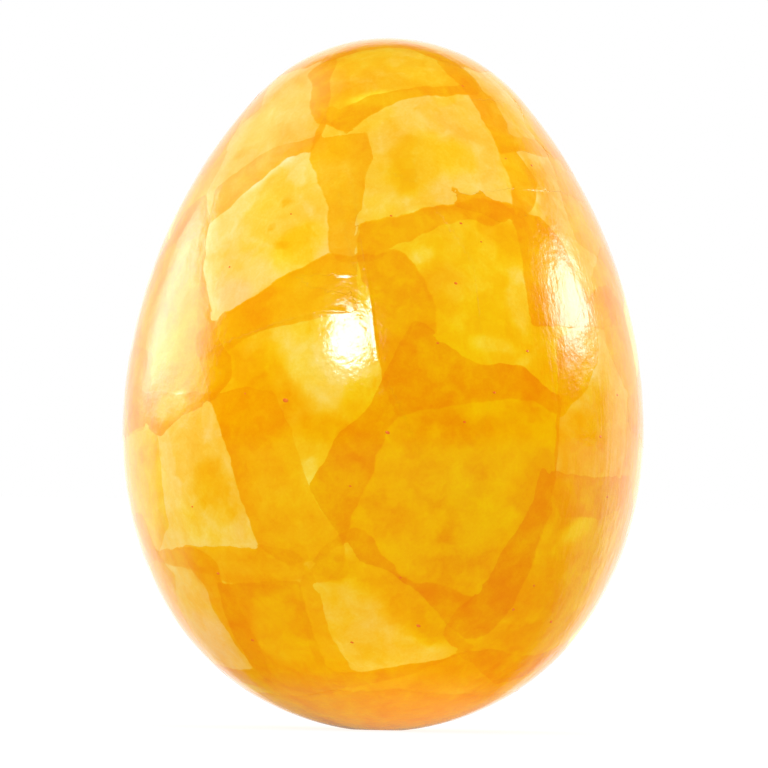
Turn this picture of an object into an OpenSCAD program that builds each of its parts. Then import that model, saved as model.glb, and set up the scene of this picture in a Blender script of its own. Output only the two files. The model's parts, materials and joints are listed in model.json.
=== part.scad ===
// Blown egg covered with torn sheets of yellow tissue paper, pasted on in overlapping layers.
// The egg stands upright on +Z with its blunt end at the origin, and -Y is its front.

/* [Egg] */
// Overall height of the covered egg
egg_h = 58; // [54:0.5:62]
// Largest width of the covered egg
egg_w = 43.6; // [42:0.2:45]
// Height of the widest ring above the blunt end
belly_z = 24.5; // [23.5:0.1:25.5]
// Radius of the side's curve below the widest ring
lower_side_r = 28; // [27:0.5:30]
// Radius of the side's curve above the widest ring
upper_side_r = 43; // [41:0.5:46]
// Thickness of the eggshell
shell_t = 0.35; // [0.3:0.01:0.4]
// Thickness of the skin that lines the eggshell
membrane_t = 0.07; // [0.06:0.01:0.1]
// Width of the blow hole in the blunt end
blunt_hole_d = 3; // [2:0.1:4]
// Width of the blow hole in the pointed end
tip_hole_d = 1.6; // [1:0.1:2]

/* [Tissue paper] */
// Thickness of one pasted sheet
paper_t = 0.05; // [0.03:0.01:0.06]
// Longest straight stretch along a torn edge
tear_step = 1.2; // [1:0.1:2]
// How far a torn edge wanders from its line
tear_depth = 0.14; // [0.05:0.01:0.2]
// Seed of the torn edges
tear_seed = 11; // [1:1:99]

/* [Hidden] */
$fn = 200;

// Four arcs that meet smoothly: the blunt cap, the lower side, the upper side and the tip cap
lower_centre = lower_side_r - egg_w / 2;
upper_centre = upper_side_r - egg_w / 2;
tip_rise = egg_h - belly_z;
blunt_r = (lower_side_r ^ 2 - lower_centre ^ 2 - belly_z ^ 2) / (2 * (lower_side_r - belly_z));
tip_r = (upper_side_r ^ 2 - upper_centre ^ 2 - tip_rise ^ 2) / (2 * (upper_side_r - tip_rise));
tip_z = egg_h - tip_r;
blunt_joint_z = belly_z + (blunt_r - belly_z) * lower_side_r / (lower_side_r - blunt_r);
tip_joint_z = belly_z + (tip_z - belly_z) * upper_side_r / (upper_side_r - tip_r);
blunt_reach = [lower_centre, blunt_r - belly_z] * egg_h / (lower_side_r - blunt_r);
tip_reach = [upper_centre, tip_z - belly_z] * egg_h / (upper_side_r - tip_r);

// Layers of paper from the shell outwards
top_level = 5;
shell_inset = top_level * paper_t;
core = [0, 0, belly_z];

// Height of the egg that the outlines below are drawn on
drawn_h = 58;

// Each traced sheet: name, layer counted from the shell, dye, and its corners.
// A corner is the angle from the front towards +X in degrees, and the height on the drawn egg in millimetres.
traced = [
    ["tissue_crown_cap", 5, "gold",
        [[-80, 54.4], [-55, 55.2], [-40, 55.9], [-20, 56.8], [0, 57.1], [20, 57], [32, 56.2], [45, 55.5],
         [60, 55.2], [90, 55], [120, 54.6], [160, 54.4], [200, 54.5], [240, 54.8]]],
    ["tissue_crown_front", 1, "lemon",
        [[-48, 54.8], [-40, 54], [-35, 53], [-33.5, 52], [-31, 51.4], [-27, 50.6], [-20, 50.2], [-15, 50],
         [-12, 50.5], [-10, 51], [-4, 51.6], [0, 52.2], [5, 52.6], [10, 52.9], [20, 53], [36.5, 53.2],
         [44, 53.4], [50, 54.5], [46, 56], [30, 57.6], [-20, 57.8], [-45, 56]]],
    ["tissue_crown_right", 2, "gold",
        [[31, 56], [33, 55], [35, 54.2], [37, 53], [38.5, 51], [39.5, 50], [39, 48.5], [50, 48.6],
         [60, 48.4], [70, 48.2], [88, 48], [100, 50], [104, 53], [95, 56], [60, 57]]],
    ["tissue_shoulder_left", 2, "lemon",
        [[-36, 56], [-32, 54.8], [-29, 53.8], [-27, 53], [-25.5, 52.3], [-24, 50.4], [-26, 48],
         [-28.5, 48.2], [-34, 47.6], [-37, 47], [-40, 46], [-43, 45.5], [-46, 44.6], [-49, 43.3],
         [-58, 41.4], [-65, 40], [-78, 41], [-88, 45], [-90, 51], [-80, 55], [-55, 56.5]]],
    ["tissue_shoulder_front", 3, "lemon",
        [[-25.5, 52.3], [-26.5, 50], [-25.5, 48], [-24, 47], [-22, 46], [-20, 45.2], [-18, 44.3],
         [-16.5, 43.6], [-15, 41], [-14.3, 39.8], [-10, 39], [-4, 39.2], [4, 40.5], [8, 41.3], [12, 42],
         [20, 42.7], [24, 42.8], [29, 42.2], [36, 43.2], [40, 43.2], [46, 44.2], [51.4, 46.2], [46.8, 48.7],
         [49.7, 49.9], [51, 52.7], [48, 54.6], [35, 54.1], [20, 53.8], [10, 53.7], [0, 53.4], [-10, 52.9],
         [-16, 52.3], [-20, 51.7]]],
    ["tissue_shoulder_right", 1, "gold",
        [[39, 49.8], [39, 48.5], [39.5, 46], [38.5, 45], [37.5, 44.2], [36, 43.2], [36, 34], [47, 34.2],
         [60, 34], [72, 34.4], [84, 37], [88, 43], [82, 48.6], [70, 49.3], [60, 49.8], [50, 49.9]]],
    ["tissue_shoulder_scrap", 4, "gold",
        [[18.5, 45.6], [20, 45.6], [22, 45.2], [26, 45.2], [28, 45.7], [33, 44.4], [37, 44.2], [38, 43],
         [33, 42.6], [28, 43.2], [22, 43.6], [18.5, 44]]],
    ["tissue_chest_left", 4, "lemon",
        [[-60, 45], [-50, 47], [-40, 48.7], [-30, 49.1], [-25, 49.7], [-10, 50.1], [-8, 50], [-7, 49.3],
         [-5.2, 48], [-6, 47], [-7, 45], [-7.3, 42.2], [-7, 38.5], [-6, 35], [-10, 34.8], [-15, 34.4],
         [-20, 34.1], [-25, 33.7], [-30, 33], [-33, 32.6], [-38, 31.6], [-42, 30.6], [-46, 31.4],
         [-48.4, 33.6], [-50, 36.5], [-52.5, 39], [-56, 42]]],
    ["tissue_chest_right", 2, "lemon",
        [[-7, 38.5], [-7.3, 42.2], [0, 42.8], [5, 43.2], [10, 43.6], [15, 43.9], [18.5, 44], [28, 44.6],
         [37, 44], [42, 43.6], [47, 43], [50, 42], [53, 40], [56, 37.5], [58, 34.5], [57, 31.5], [50, 28.6],
         [42.5, 26.5], [38, 27.4], [34, 28], [30, 28], [20, 27.7], [10, 27], [3, 26.3], [0, 29],
         [-0.5, 29.8], [-1.5, 31.5], [-2.3, 33], [-3, 35], [-4, 36.8]]],
    ["tissue_belly_front", 1, "lemon",
        [[-42.5, 33.9], [-40, 34.6], [-38, 35], [-32, 36], [-30, 36.8], [-27, 37.5], [-25, 38], [-20, 38.6],
         [-14.3, 39.8], [-10, 39.4], [-4, 39.6], [3, 40.2], [8, 38.4], [11, 36], [12, 33.2], [6.5, 34.1],
         [3, 31.8], [0.8, 29.8], [1.2, 28.6], [3.4, 26.4], [1, 25.5], [-0.5, 24], [-2.2, 21.7], [-5, 19.7],
         [-7, 18], [-9, 15.8], [-15, 14.4], [-22, 14], [-29.5, 15.4], [-31, 17], [-33, 19], [-34.5, 21],
         [-35.5, 23], [-38, 25], [-42.5, 28], [-44, 29.5], [-46, 30.8], [-48, 32], [-48.5, 33]]],
    ["tissue_belly_left", 5, "lemon",
        [[-51.5, 38.5], [-48, 37], [-46, 35.8], [-44.5, 35], [-42.5, 33.9], [-40, 32], [-36.5, 31],
         [-35.8, 30.2], [-35.7, 29.3], [-37, 28.8], [-40, 27.7], [-45, 26.7], [-50, 26.2], [-55, 25],
         [-57, 24.2], [-66, 25], [-75, 24.5], [-82, 27], [-85, 33], [-82, 39], [-74, 43], [-64, 44.6],
         [-56, 42.6]]],
    ["tissue_belly_right", 3, "gold",
        [[43, 33], [50, 34.6], [58, 36.6], [62, 37.5], [70, 37.4], [77, 35.5], [79, 30], [77.5, 22],
         [70, 19], [60, 18.3], [45, 18.3], [40.8, 20], [41.2, 26], [42, 30]]],
    ["tissue_flank_left", 2, "lemon",
        [[-73, 28.5], [-65, 28], [-58, 28.2], [-50, 27.6], [-47, 28], [-40, 28], [-33, 28.5], [-25, 28.3],
         [-24, 27.5], [-22, 26], [-20.5, 25], [-18.7, 22.8], [-16.7, 20.5], [-14, 18.5], [-10, 16.8],
         [-9, 15.5], [-8, 13], [-15, 12.4], [-22, 12.8], [-30, 12.1], [-36, 12.1], [-44, 12.6], [-53, 13.3],
         [-65, 13.8],
         [-75, 14.2], [-82, 18], [-81, 24]]],
    ["tissue_flank_right", 4, "amber",
        [[6.5, 34.5], [10, 33.8], [13, 32.8], [16, 31.8], [18, 31.2], [22, 30.8], [33, 30.9], [37, 29.5],
         [43, 28.2], [42.5, 26.5], [42, 23.5], [41.3, 20], [41.5, 18.5], [40, 16.8], [39.5, 15.5],
         [39, 14.3], [37, 10.5], [33, 8.4], [29, 7.9], [25, 8.1], [20, 9], [15, 10.2], [10, 11.7],
         [5, 12.9], [0, 13.8], [-5, 14.4], [-9, 15.5], [-10, 16.8], [-14, 18.5], [-16.7, 20.5], [-15, 21.3],
         [-13, 22.3], [-10, 24.7], [-8, 25.3], [-4, 26.9], [-2, 28], [0, 30]]],
    ["tissue_heel_left", 5, "lemon",
        [[-80, 15], [-60, 15], [-50, 15.2], [-44, 14.4], [-43, 12.7], [-41, 11.3], [-40, 9.5], [-39, 7.5],
         [-42, 4.6], [-55, 3.6], [-75, 4], [-88, 6], [-90, 11]]],
    ["tissue_heel_front_left", 4, "gold",
        [[-55, 15.3], [-40, 15.3], [-30, 15.4], [-20, 15], [-16, 13], [-15.5, 11], [-14.5, 9], [-13.5, 8],
         [-12, 7], [-10, 5.8], [-7, 5], [-14, 3.6], [-30, 3], [-48, 4], [-50.5, 9.5], [-51, 10.5],
         [-50.5, 12], [-52, 12.7], [-54, 13.4]]],
    ["tissue_heel_front", 3, "lemon",
        [[-9, 16.8], [-4.5, 17.2], [-1.5, 16], [0, 15], [2, 14.4], [5, 13.1], [10, 12.5], [13, 12.7],
         [18, 12.2], [22.5, 11.6], [25.5, 11.8], [22, 10.2], [20.4, 9.2], [26, 7.8], [31, 7.4], [20, 6],
         [10, 4.9], [0, 4.2], [-18, 3.7], [-21, 6], [-21.5, 10], [-20, 13], [-14, 15.4]]],
    ["tissue_heel_right", 5, "amber",
        [[37.2, 22.3], [47, 21.9], [60, 21.7], [72, 22], [82, 19], [84, 13], [78, 8], [66, 5], [52, 4.2],
         [40, 5], [28, 6.4], [18, 8.4], [20, 10], [25.5, 12.2], [27, 13], [28.5, 14], [29.5, 15],
         [31.5, 16.5], [34, 17.9], [36, 19.6], [36.5, 21]]],
    ["tissue_base_front", 1, "gold",
        [[-90, 5.4], [-75, 5.4], [-60, 5], [-50, 5], [-47.5, 6.5], [-47, 9], [-45, 12], [-30, 12.4],
         [-20, 12.4], [-19.5, 9], [-18, 5.6], [-14, 4.9], [0, 5.3], [10, 5.8], [18, 6], [25, 6.7], [30, 7],
         [36, 7.2], [43, 6.8], [60, 6.6], [74, 8], [86, 7], [100, 3.4], [140, 0.8], [220, 0.8], [252, 3]]],
    ["tissue_base_cap", 5, "gold",
        [[-90, 3.6], [-60, 3.2], [-18, 3.5], [10, 3.8], [40, 3.4], [70, 3.6], [100, 4.2], [150, 3.2],
         [190, 3], [230, 3.4]]]
];

// Each sheet round the back: name, layer, dye, angle and height of its middle, half width and half height in
// millimetres, and how far it leans in degrees.
placed = [
    ["tissue_crown_back_right", 4, "lemon", 126, 52.4, 12, 5, 8],
    ["tissue_crown_back_left", 1, "gold", 232, 52.2, 12, 5, -10],
    ["tissue_shoulder_back_right", 3, "gold", 106, 44.4, 13, 7.4, -12],
    ["tissue_shoulder_back", 2, "lemon", 176, 43.6, 13.5, 7.6, 10],
    ["tissue_shoulder_back_left", 3, "lemon", 248, 44.8, 13, 7.4, 9],
    ["tissue_chest_back_right", 4, "lemon", 98, 34.2, 12.5, 8.2, 12],
    ["tissue_chest_back", 1, "amber", 152, 33.2, 12.5, 8.6, -14],
    ["tissue_chest_back_left", 4, "lemon", 206, 34.6, 12.8, 8.6, 9],
    ["tissue_chest_far_left", 1, "gold", 262, 33.6, 13, 8.6, -8],
    ["tissue_flank_back_right", 2, "gold", 104, 22.4, 12.8, 8.8, -10],
    ["tissue_flank_back", 3, "lemon", 156, 21.4, 12.8, 8.8, 12],
    ["tissue_flank_back_left", 2, "amber", 212, 22.8, 13, 8.8, -12],
    ["tissue_flank_far_left", 3, "lemon", 266, 21.8, 13, 9, 10],
    ["tissue_heel_back_right", 4, "gold", 112, 11, 14, 7.2, 6],
    ["tissue_heel_back", 1, "lemon", 172, 10.8, 15, 8, -8],
    ["tissue_heel_back_left", 4, "gold", 248, 10.8, 15, 7.2, 7],
    ["tissue_base_back", 2, "gold", 182, 5, 19, 4.2, 0]
];
oval_corners = 18;
lowest_corner = 0.6;
oval_wander = 0.12;

// Rounded square with a wandering edge, as corners in angle and height
function torn_oval(lon, z, half_w, half_z, lean, seed) =
    let (wander = rands(1 - oval_wander, 1 + oval_wander, oval_corners, seed), r = egg_r(z))
    [for (i = [0:oval_corners - 1])
        let (turn = i * 360 / oval_corners, c = cos(turn), s = sin(turn))
        let (reach = wander[i] / (c ^ 4 + s ^ 4) ^ 0.25, x = half_w * reach * c, y = half_z * reach * s)
        let (across = x * cos(lean) - y * sin(lean), rise = x * sin(lean) + y * cos(lean))
        [lon + across / r * 180 / PI, max(lowest_corner, min(drawn_h - lowest_corner, z + rise))]];

backed = [for (i = [0:len(placed) - 1])
    let (p = placed[i])
    [p[0], p[1], p[2], torn_oval(p[3], p[4], p[5], p[6], p[7], tear_seed + i)]];

sheets = concat(traced, backed);

dyes = [["lemon", "#fdd352"], ["gold", "#fbc23a"], ["amber", "#f7ae22"]];
function dye_colour(name) = dyes[search([name], dyes)[0]][1];

// Radius of the covered egg at a height
function egg_r(z) =
    z < blunt_joint_z ? sqrt(max(0, blunt_r ^ 2 - (z - blunt_r) ^ 2)) :
    z < belly_z ? sqrt(lower_side_r ^ 2 - (z - belly_z) ^ 2) - lower_centre :
    z < tip_joint_z ? sqrt(upper_side_r ^ 2 - (z - belly_z) ^ 2) - upper_centre :
    sqrt(max(0, tip_r ^ 2 - (z - tip_z) ^ 2));

// Point on the covered egg from an angle and a drawn height
function on_egg(corner) =
    let (z = corner[1] * egg_h / drawn_h, r = egg_r(z))
    [r * sin(corner[0]), -r * cos(corner[0]), z];

function unit(v) = v / norm(v);
function mean(points) = [for (p = points) 1] * points / len(points);

// Corners of a sheet seen straight on, with the facing direction as azimuth and elevation
function facing(points) =
    let (n = unit(mean(points) - core))
    [atan2(n.x, -n.y), asin(n.z)];
function seen(points, turn) =
    let (across = [cos(turn[0]), sin(turn[0]), 0])
    let (up = [-sin(turn[1]) * sin(turn[0]), sin(turn[1]) * cos(turn[0]), cos(turn[1])])
    [for (p = points) [(p - core) * across, (p - core) * up]];

// Straight edges broken into short stretches that wander to either side
function torn(corners, seed) =
    [for (i = [0:len(corners) - 1])
        let (a = corners[i], b = corners[(i + 1) % len(corners)], run = b - a)
        let (pieces = max(1, ceil(norm(run) / tear_step)), side = [-run.y, run.x] / norm(run))
        let (wander = rands(-tear_depth, tear_depth, pieces, seed + i))
        for (k = [0:pieces - 1]) a + run * k / pieces + side * wander[k]];

// Slice of the egg's half section: a disc of radius r about a centre, kept inside the given corners
module slice(r, centre, corners) {
    intersection() {
        translate(centre) circle(r);
        polygon(corners);
    }
}

// Egg whose surface lies a given depth inside the covered egg: both caps are whole half discs inside the side
// curves, and the lower side runs on inside the upper side, so the slices overlap
module egg(depth) {
    blunt = [0, blunt_r];
    tip = [0, tip_z];
    lower = [-lower_centre, belly_z];
    upper = [-upper_centre, belly_z];
    half = [[0, -egg_h], [egg_h, -egg_h], [egg_h, 2 * egg_h], [0, 2 * egg_h]];
    rotate_extrude() {
        slice(blunt_r - depth, blunt, half);
        slice(lower_side_r - depth, lower, [blunt, blunt + blunt_reach, [egg_h, tip_z], tip]);
        slice(upper_side_r - depth, upper, [[0, belly_z], [egg_h, belly_z], tip + tip_reach, tip]);
        slice(tip_r - depth, tip, half);
    }
}

// Thin wall of the egg between two depths
module egg_wall(outer, inner) {
    difference() {
        egg(outer);
        egg(inner);
    }
}

module blow_holes() {
    translate([0, 0, -1]) cylinder(d = blunt_hole_d, h = belly_z);
    translate([0, 0, belly_z + 1]) cylinder(d = tip_hole_d, h = egg_h);
}

module eggshell() {
    color("#f7f1e6")
    difference() {
        egg_wall(shell_inset, shell_inset + shell_t);
        blow_holes();
    }
}

module shell_membrane() {
    color("#fbf7ef")
    difference() {
        egg_wall(shell_inset + shell_t, shell_inset + shell_t + membrane_t);
        blow_holes();
    }
}

// One torn sheet, lying on the layer below it
module tissue(sheet, seed) {
    points = [for (c = sheet[3]) on_egg(c)];
    turn = facing(points);
    depth = (top_level - sheet[1]) * paper_t;
    color(dye_colour(sheet[2]))
    difference() {
        intersection() {
            egg(depth);
            translate(core) rotate([90 - turn[1], 0, turn[0]]) translate([0, 0, 1])
                linear_extrude(egg_h) polygon(torn(seen(points, turn), seed));
        }
        egg(depth + paper_t);
    }
}

eggshell();
shell_membrane();
for (i = [0:len(sheets) - 1])
    tissue(sheets[i], tear_seed + 100 * i);
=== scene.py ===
import json
import math

import bmesh
import bpy
import numpy as np
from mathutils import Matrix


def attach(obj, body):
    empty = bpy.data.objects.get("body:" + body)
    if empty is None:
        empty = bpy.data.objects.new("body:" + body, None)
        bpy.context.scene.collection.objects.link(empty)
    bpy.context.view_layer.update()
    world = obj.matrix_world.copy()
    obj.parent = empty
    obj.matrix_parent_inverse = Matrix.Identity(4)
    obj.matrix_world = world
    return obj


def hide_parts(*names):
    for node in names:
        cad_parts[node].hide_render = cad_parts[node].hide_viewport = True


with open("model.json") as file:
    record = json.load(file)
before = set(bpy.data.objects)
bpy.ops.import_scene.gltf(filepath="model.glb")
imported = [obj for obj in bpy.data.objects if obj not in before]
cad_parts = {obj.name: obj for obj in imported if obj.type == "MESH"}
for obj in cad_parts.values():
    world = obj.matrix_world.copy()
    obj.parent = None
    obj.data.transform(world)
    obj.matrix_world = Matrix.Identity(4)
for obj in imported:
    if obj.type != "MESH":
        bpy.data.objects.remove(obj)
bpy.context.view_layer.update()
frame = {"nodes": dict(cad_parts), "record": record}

# Lengths below are in millimetres, and the frame is in metres
MM = 0.001
TINY = 1e-9

# The covered egg: four arcs that meet smoothly, standing on its blunt end
EGG_HEIGHT = 58.0
EGG_WIDTH = 43.6
BELLY_HEIGHT = 24.5
LOWER_SIDE_RADIUS = 28.0
UPPER_SIDE_RADIUS = 43.0
ARC_STEPS = 400
CORE = np.array([0.0, 0.0, BELLY_HEIGHT])

# The pasted paper, in layers counted from the shell outwards
PAPER = 0.05
LAYERS = 5
# The varnish fills most of the steps between them, so this share of each is left
LEVELLED = 0.4
# Top faces stand this far over the egg, and bottom faces this far below the top ones
LIFT = 0.04
DEEP = 0.12

# Reading a sheet's solid: points this close are one, in metres, and outer faces lean outwards this much
WELD = 1e-7
OUTWARD = 0.95
# A sheet that faces this nearly straight up or down has no sideways direction of its own
UPRIGHT = 0.99

# A torn outline: spacing of its points, rounds of softening, and wander of the tear
RIM_STEP = 0.25
RIM_SOFTENINGS = 3
TEAR = 0.05

# The grid of distances from an outline: its spacing, and how far it goes past the outline
FIELD_STEP = 0.2
FIELD_MARGIN = 1.5

# A flat sheet: its squares, its depth, and the foot and the height of the prism that cuts it out
CELL = 0.3
SLAB_DEPTH = 1.0
CUTTER_FOOT = -1.0
CUTTER_HEIGHT = 3.0

# A laid sheet: how wide it steps down and how far it drapes outside an edge below it,
# how thin its own edge is as a share of its thickness, and how wide that edge tapers
STEP_WIDTH = 0.3
DRAPE = 1.6
THIN_EDGE = 0.3
FEATHER = 0.9
SMOOTH_ANGLE = math.radians(50)
# What stands for no sheet below: far outside any edge, with some yellow and no orange
NO_SHEET = (-FIELD_MARGIN, 1.0, 0.0)

# Wrinkles that the wet paper dried with: width and height of each kind
WRINKLES = [(5.0, 0.035), (1.6, 0.012)]
# Their random field: how many values it draws from, and how the numbers of a cell are mixed to pick one
RIPPLE_VALUES = 4096
RIPPLE_MIX = np.array([73856093, 19349663, 83492791])

# Each dye: how much yellow and how much orange one sheet of it holds
DYES = {
    "tissue_lemon": (1.1, 1.12),
    "tissue_gold": (1.3, 1.36),
    "tissue_amber": (2.5, 1.66),
}

# Sheets that took more or less of the yellow and the orange than their dye gives
UNEVEN = {
    "crown_cap": (1.3, 1.5),
    "crown_front": (1.2, 1.25),
    "crown_right": (0.75, 1.15),
    "shoulder_left": (0.95, 1.25),
    "shoulder_front": (0.85, 0.95),
    "shoulder_right": (0.75, 1.1),
    "chest_left": (0.68, 0.86),
    "chest_right": (1.85, 1.2),
    "belly_front": (1.75, 1.3),
    "belly_left": (1.9, 2.1),
    "belly_right": (1.05, 1.45),
    "flank_left": (0.78, 0.97),
    "flank_right": (1.7, 1.1),
    "heel_left": (0.85, 1.28),
    "heel_front_left": (1, 0.75),
    "heel_front": (1.2, 1.2),
    "heel_right": (1.4, 1.35),
    "base_front": (2, 1.85),
    "crown_back_right": (1, 0.4),
    "crown_back_left": (1, 0.7),
    "shoulder_back_right": (1, 0.6),
    "shoulder_back_left": (1, 0.6),
    "chest_back_right": (1, 0.6),
    "chest_far_left": (0.9, 0.8),
    "flank_back_right": (1, 1.2),
    "flank_far_left": (1, 0.9),
    "heel_back_right": (1, 0.7),
    "heel_back_left": (0.9, 0.5),
}

# Stains in the dye of each sheet, and pale patches that paint the varnish's sheen: angle and height of the
# middle, half width and half height, lean in degrees, and the yellow and the orange that they add or take
# away
STAINS_AND_PAINTED_SHEEN = {
    "crown_front": [
        (-17, 54.2, 2, 1.4, 0, 0.2, 0.3),
        (17, 55, 2.6, 1.2, 0, -0.2, -0.3),
        (5, 52.9, 4.5, 0.9, 5, -0.3, -0.9),
    ],
    "shoulder_left": [
        (-67, 52, 3.8, 1.2, 20, 0.3, 0.3),
        (-37, 49.3, 2, 1.2, 0, 0.2, 0.2),
    ],
    "shoulder_front": [
        (12, 47.6, 3.9, 2.6, 20, 0.9, 0.2),
        (29, 51, 2.5, 2, 0, 0.2, 0.3),
        (37, 48, 1.5, 2.5, 0, 0.2, 0.3),
        (6, 42.4, 3.5, 1.2, 15, 0, -0.4),
    ],
    "shoulder_right": [
        (44, 46.2, 1.5, 4, 0, -0.5, -1.1),
    ],
    "chest_left": [
        (-29, 44, 0.5, 0.3, 20, 0.4, 0.7),
        (-32, 41.8, 0.6, 0.4, 0, 0.4, 0.6),
        (-28, 40.4, 0.7, 0.4, 0, 0.4, 0.6),
        (-23, 40, 2.4, 2.4, 30, 0.5, 0.1),
        (-39, 36, 2.6, 2, 0, -0.2, 0.1),
        (-45, 46.3, 4.5, 1.5, 30, -0.4, -0.5),
    ],
    "chest_right": [
        (9, 39.7, 1.5, 0.9, 20, -0.9, -0.4),
        (25, 32.5, 2.8, 1, -10, -0.9, -0.4),
        (33, 36, 1.5, 4, 0, -1, -0.3),
        (31, 41.5, 2.4, 1.5, -20, 0.2, 0.4),
        (21, 30, 3.6, 1.2, -10, 0.2, 0.5),
        (12, 37, 2.6, 3, -30, 0.2, 0.5),
    ],
    "belly_front": [
        # Pale round the dish lamp's highlight: partly paler dye, partly painted sheen
        (-14, 30.5, 5.2, 3.6, -30, -1.15, -0.7),
        (-16, 21.7, 0.9, 1.3, 0, -0.8, -0.5),
        (-19, 24, 2, 2, 0, 0.2, 0.3),
        (-27, 29, 4.8, 2, -43, 0.4, 0.6),
        (-13, 25.3, 3, 1.4, 0, 1.2, 0.5),
        (-5, 27.6, 1.6, 2, 0, 1.2, 0.2),
    ],
    "belly_left": [
        (-51, 29.5, 3.5, 1.3, 10, 0.3, 0.3),
        (-54, 26.8, 3.5, 1.4, 15, -2, -2.2),
    ],
    "belly_right": [
        (48, 24.7, 3, 3.4, 0, 0.8, 0.8),
        # Painted reflection: pale where the right window's highlight runs down
        (51, 31.4, 3.2, 3, 0, -0.6, -0.7),
        (54, 20.2, 4, 1.6, 0, 0, -1.8),
    ],
    "chest_far_left": [
        # Painted highlight: pale where the left panel is mirrored at the egg's left edge
        (-66, 33, 6.5, 11, 0, -1.1, -1.1),
    ],
    "flank_far_left": [
        (-66, 21, 6.5, 10, 0, -0.3, -0.65),
    ],
    "flank_left": [
        (-40, 19.7, 2.6, 2.8, 10, 0.6, 0.4),
        (-64, 23, 2.6, 1.4, 0, 0.4, 0.4),
        (-50, 17, 2.8, 1.4, 0, 0.3, 0.2),
        (-17, 14, 1.1, 0.8, 0, 1.2, 1.6),
    ],
    "flank_right": [
        (10, 21.4, 3, 1.4, 10, 0.2, 0.4),
        (16, 25.2, 7, 1.6, 5, 0.2, 0.7),
        (1, 17.6, 1.7, 2.4, 0, 0.2, 0.3),
        (23, 13.4, 4.4, 1.5, 30, 0.2, 0.4),
        (30, 22, 1.2, 1.8, -10, -0.9, -0.2),
        (22, 18.5, 4, 3, 20, 0, -0.2),
        (-7, 23, 1.9, 1.8, 0, 0.2, 0.4),
    ],
    "heel_front": [
        (8, 11, 8, 2.8, -46, 2.2, 0.9),
        (-6, 7.5, 2.8, 3, 0, -0.2, -0.1),
        (-12, 13.9, 1.8, 1.2, 0, 3, 1.5),
    ],
    "heel_right": [
        (42, 12.6, 5.4, 3.8, 20, 0.6, 0.8),
        (52, 17.4, 3, 1.3, 20, -1.4, -0.9),
    ],
    "heel_left": [
        (-61, 7.3, 3.4, 3.4, 30, -0.2, 0.1),
    ],
    "heel_front_left": [
        (-29, 12.4, 4.6, 0.7, 0, 0.6, 1.0),
        (-19, 9, 1.4, 3, -10, 0.2, 0.5),
    ],
    "base_front": [
        (-21, 9.5, 1.6, 2.8, -15, 0.2, 0.5),
        (39, 6.5, 4.2, 1.3, 10, 0.3, 0.5),
        (-70, 4.4, 9, 1.6, 0, -0.8, -1.1),
        (-30, 8, 3.5, 4, 0, -1.2, -1.8),
        (48, 6.1, 2.5, 1.2, 15, 0, -2),
    ],
}
# The wander of each patch's edge, stain and painted sheen alike, as strength, width and seed, and where it
# fades, as shares of its half size
STAIN_AND_SHEEN_WANDER = [(0.3, 2.2, 7), (0.15, 0.9, 8)]
STAIN_AND_SHEEN_FADE = (0.5, 1.2)
LEAST_DYE = 0.05

# Grains of dye that did not dissolve: angle, height, and half length
GRAINS = [
    (-22, 27.5, 0.26), (-32, 28, 0.1), (-48, 18.5, 0.12), (-44, 13, 0.16), (-7, 20.5, 0.12), (1, 25, 0.2),
    (25, 28.5, 0.14), (34, 32, 0.14), (12, 32.5, 0.12), (18, 26, 0.14), (56, 25, 0.16), (64, 28.5, 0.14),
    (61, 20, 0.14), (42, 12.5, 0.12), (5, 13, 0.12), (37, 54, 0.12), (52, 47.5, 0.14), (41, 48, 0.1),
    (17, 37.5, 0.16), (20, 42.5, 0.14), (25, 41, 0.1), (1, 43, 0.12), (-27, 43, 0.1), (-42, 38.5, 0.12),
    (-41, 7.5, 0.18), (-8, 7.5, 0.16), (11, 9, 0.2), (38, 10.5, 0.16), (55, 9.5, 0.2), (140, 30, 0.2),
    (165, 41, 0.14), (196, 18, 0.18), (228, 36, 0.14), (212, 47, 0.12), (118, 16, 0.16), (246, 24, 0.14),
]
# Width and thickness of a grain as shares of its length, the way it lies, and how many points hold it
GRAIN_WIDTH = 0.65
GRAIN_THICKNESS = 0.12
GRAIN_LIE = (0.3, 0.2, 1)
GRAIN_NEIGHBOURS = 6

# Creases in the paper: the places they run through, as angle and height
CREASES = [
    [(-5, 38.5), (-3.5, 36), (-2.5, 33.5), (-1.5, 31), (0.5, 29.5)],
    [(-12, 38), (-9, 38)],
    [(-20, 34.5), (-15, 35), (-10, 35)],
    [(40.5, 45.5), (52, 45.5)],
    [(190, 33), (197, 27), (199, 24)],
    [(120, 44), (126, 38)],
]
# The soft swelling of the paper along a crease, the sharp ridge on it, and a distance that no crease reaches
SWELLING_HEIGHT = 0.02
SWELLING_WIDTH = 0.35
RIDGE_HEIGHT = 0.022
RIDGE_WIDTH = 0.3
FAR_OFF = 9.0


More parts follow.
